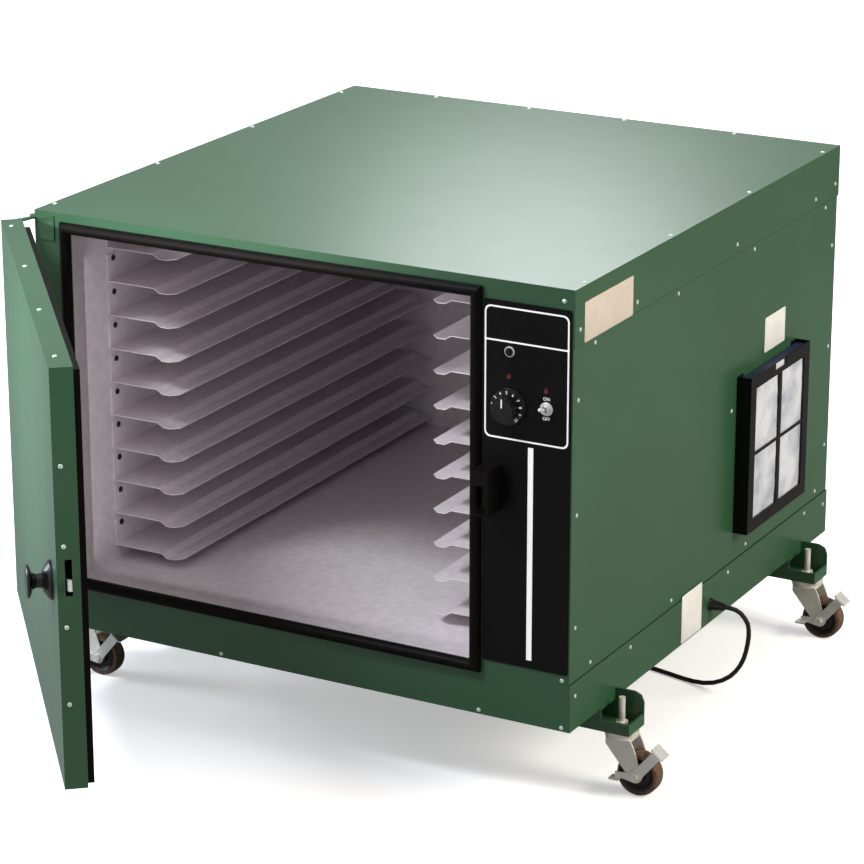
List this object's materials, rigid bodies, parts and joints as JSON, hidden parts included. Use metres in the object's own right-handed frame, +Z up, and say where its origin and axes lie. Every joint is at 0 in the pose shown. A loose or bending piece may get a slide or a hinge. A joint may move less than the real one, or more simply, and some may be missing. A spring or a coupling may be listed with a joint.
{
  "type": "screen drying cabinet",
  "caption": "Green steel drying cabinet on four braked casters, with a lined chamber of runner pairs, a side hinged door and a control column.",
  "frame": {"origin": "on the floor, under the middle of the whole object's box with its door open as drawn", "axes": "+Z up; -Y is the front with the door; +X is the side with the controls and the filter"},
  "size_m": [1.0032, 1.5117, 0.7595],
  "materials": {
    "green_paint": "enamel on folded steel sheet",
    "liner_steel": "pale grey enamel, a little glossy",
    "black_plate": "black enamel, semi gloss",
    "bright_steel": "bright nickel plate",
    "zinc_steel": "zinc plated pressings",
    "fan_aluminium": "pressed blades, satin",
    "gasket_rubber": "dull black extrusion",
    "black_plastic": "black moulding",
    "lamp_red": "clear red lens",
    "filter_media": "white spun fibre pad",
    "cord_rubber": "black jacket",
    "wheel_rubber": "hard rubber wheel"
  },
  "bodies": {
    "cabinet": {"top_cover": "green_paint", "left_side_panel": "green_paint", "right_side_panel": "green_paint", "back_panel": "green_paint", "base_pan": "green_paint", "hinge_stile": "green_paint", "front_header": "green_paint", "front_sill": "green_paint", "control_stile": "green_paint", "liner_left": "liner_steel", "liner_right": "liner_steel", "liner_back": "liner_steel", "liner_top": "liner_steel", "liner_floor": "liner_steel", "door_gasket": "gasket_rubber", "left_runners": "liner_steel", "right_runners": "liner_steel", "control_plate": "black_plate", "thermostat_body": "black_plastic", "toggle_body": "bright_steel", "breaker_body": "black_plastic", "indicator_lamps": "lamp_red", "strike_keeper": "black_plate", "fan_housing": "zinc_steel", "fan_motor": "zinc_steel", "heater": "zinc_steel", "filter_frame": "black_plate", "cord_gland": "black_plastic", "power_cord": "cord_rubber", "cord_coil": "cord_rubber", "cord_tie": "black_plastic", "power_plug": "cord_rubber", "hinge_brackets": "green_paint", "caster_brackets": "green_paint", "caster_studs": "zinc_steel"},
    "door": {"door_shell": "green_paint", "door_inner_panel": "liner_steel", "door_seal": "gasket_rubber", "hinge_arms": "green_paint", "knob_rose": "black_plate"},
    "latch": {"door_knob": "black_plate", "latch_arm": "bright_steel"},
    "dial": {"dial_knob": "black_plastic"},
    "power_toggle": {"toggle_lever": "bright_steel"},
    "breaker_push": {"breaker_button": "black_plastic"},
    "fan": {"fan_wheel": "fan_aluminium"},
    "filter": {"air_filter": "filter_media"},
    "caster_1": {"caster_fork_1": "zinc_steel"},
    "wheel_1": {"caster_wheel_1": "wheel_rubber"},
    "brake_1": {"brake_lever_1": "zinc_steel"},
    "caster_2": {"caster_fork_2": "zinc_steel"},
    "wheel_2": {"caster_wheel_2": "wheel_rubber"},
    "brake_2": {"brake_lever_2": "zinc_steel"},
    "caster_3": {"caster_fork_3": "zinc_steel"},
    "wheel_3": {"caster_wheel_3": "wheel_rubber"},
    "brake_3": {"brake_lever_3": "zinc_steel"},
    "caster_4": {"caster_fork_4": "zinc_steel"},
    "wheel_4": {"caster_wheel_4": "wheel_rubber"},
    "brake_4": {"brake_lever_4": "zinc_steel"}
  },
  "joints": [
    {"name": "door_hinge", "type": "hinge", "parent": "cabinet", "child": "door", "pos_m": [-0.45559, -0.16842, 0.469], "axis": [0, 0, -1], "range_deg": [-49.5, 105.5]},
    {"name": "latch_turn", "type": "hinge", "parent": "door", "child": "latch", "pos_m": [-0.06848, -0.69327, 0.4445], "axis": [-0.7604, -0.6494, 0], "range_deg": [0, 13.5]},
    {"name": "dial_turn", "type": "hinge", "parent": "cabinet", "child": "dial", "pos_m": [0.31141, -0.16692, 0.5845], "axis": [0, 1, 0], "range_deg": [0, 270]},
    {"name": "toggle_flip", "type": "hinge", "parent": "cabinet", "child": "power_toggle", "pos_m": [0.36841, -0.16882, 0.59], "axis": [1, 0, 0], "range_deg": [0, 28]},
    {"name": "breaker_reset", "type": "slide", "parent": "cabinet", "child": "breaker_push", "axis": [0, 1, 0], "range_m": [0, 0.0025]},
    {"name": "fan_spin", "type": "hinge", "parent": "cabinet", "child": "fan", "pos_m": [0.37141, 0.48958, 0.366], "axis": [1, 0, 0], "continuous": true},
    {"name": "filter_slide", "type": "slide", "parent": "cabinet", "child": "filter", "axis": [0, 0, 1], "range_m": [0, 0.2]},
    {"name": "swivel_1", "type": "hinge", "parent": "cabinet", "child": "caster_1", "pos_m": [0.42941, -0.04192, 0.0885], "axis": [0, 0, 1], "continuous": true},
    {"name": "axle_1", "type": "hinge", "parent": "caster_1", "child": "wheel_1", "pos_m": [0.45941, -0.04192, 0.03175], "axis": [0, 1, 0], "continuous": true},
    {"name": "brake_turn_1", "type": "hinge", "parent": "caster_1", "child": "brake_1", "pos_m": [0.45941, -0.05992, 0.03175], "axis": [0, 1, 0], "range_deg": [-20, 0]},
    {"name": "swivel_2", "type": "hinge", "parent": "cabinet", "child": "caster_2", "pos_m": [0.42941, 0.62508, 0.0885], "axis": [0, 0, 1], "continuous": true},
    {"name": "axle_2", "type": "hinge", "parent": "caster_2", "child": "wheel_2", "pos_m": [0.45941, 0.62508, 0.03175], "axis": [0, 1, 0], "continuous": true},
    {"name": "brake_turn_2", "type": "hinge", "parent": "caster_2", "child": "brake_2", "pos_m": [0.45941, 0.60708, 0.03175], "axis": [0, 1, 0], "range_deg": [-20, 0]},
    {"name": "swivel_3", "type": "hinge", "parent": "cabinet", "child": "caster_3", "pos_m": [-0.47659, -0.04192, 0.0885], "axis": [0, 0, 1], "continuous": true},
    {"name": "axle_3", "type": "hinge", "parent": "caster_3", "child": "wheel_3", "pos_m": [-0.44659, -0.04192, 0.03175], "axis": [0, 1, 0], "continuous": true},
    {"name": "brake_turn_3", "type": "hinge", "parent": "caster_3", "child": "brake_3", "pos_m": [-0.44659, -0.05992, 0.03175], "axis": [0, 1, 0], "range_deg": [-20, 0]},
    {"name": "swivel_4", "type": "hinge", "parent": "cabinet", "child": "caster_4", "pos_m": [-0.47659, 0.62508, 0.0885], "axis": [0, 0, 1], "continuous": true},
    {"name": "axle_4", "type": "hinge", "parent": "caster_4", "child": "wheel_4", "pos_m": [-0.44659, 0.62508, 0.03175], "axis": [0, 1, 0], "continuous": true},
    {"name": "brake_turn_4", "type": "hinge", "parent": "caster_4", "child": "brake_4", "pos_m": [-0.44659, 0.60708, 0.03175], "axis": [0, 1, 0], "range_deg": [-20, 0]}
  ]
}
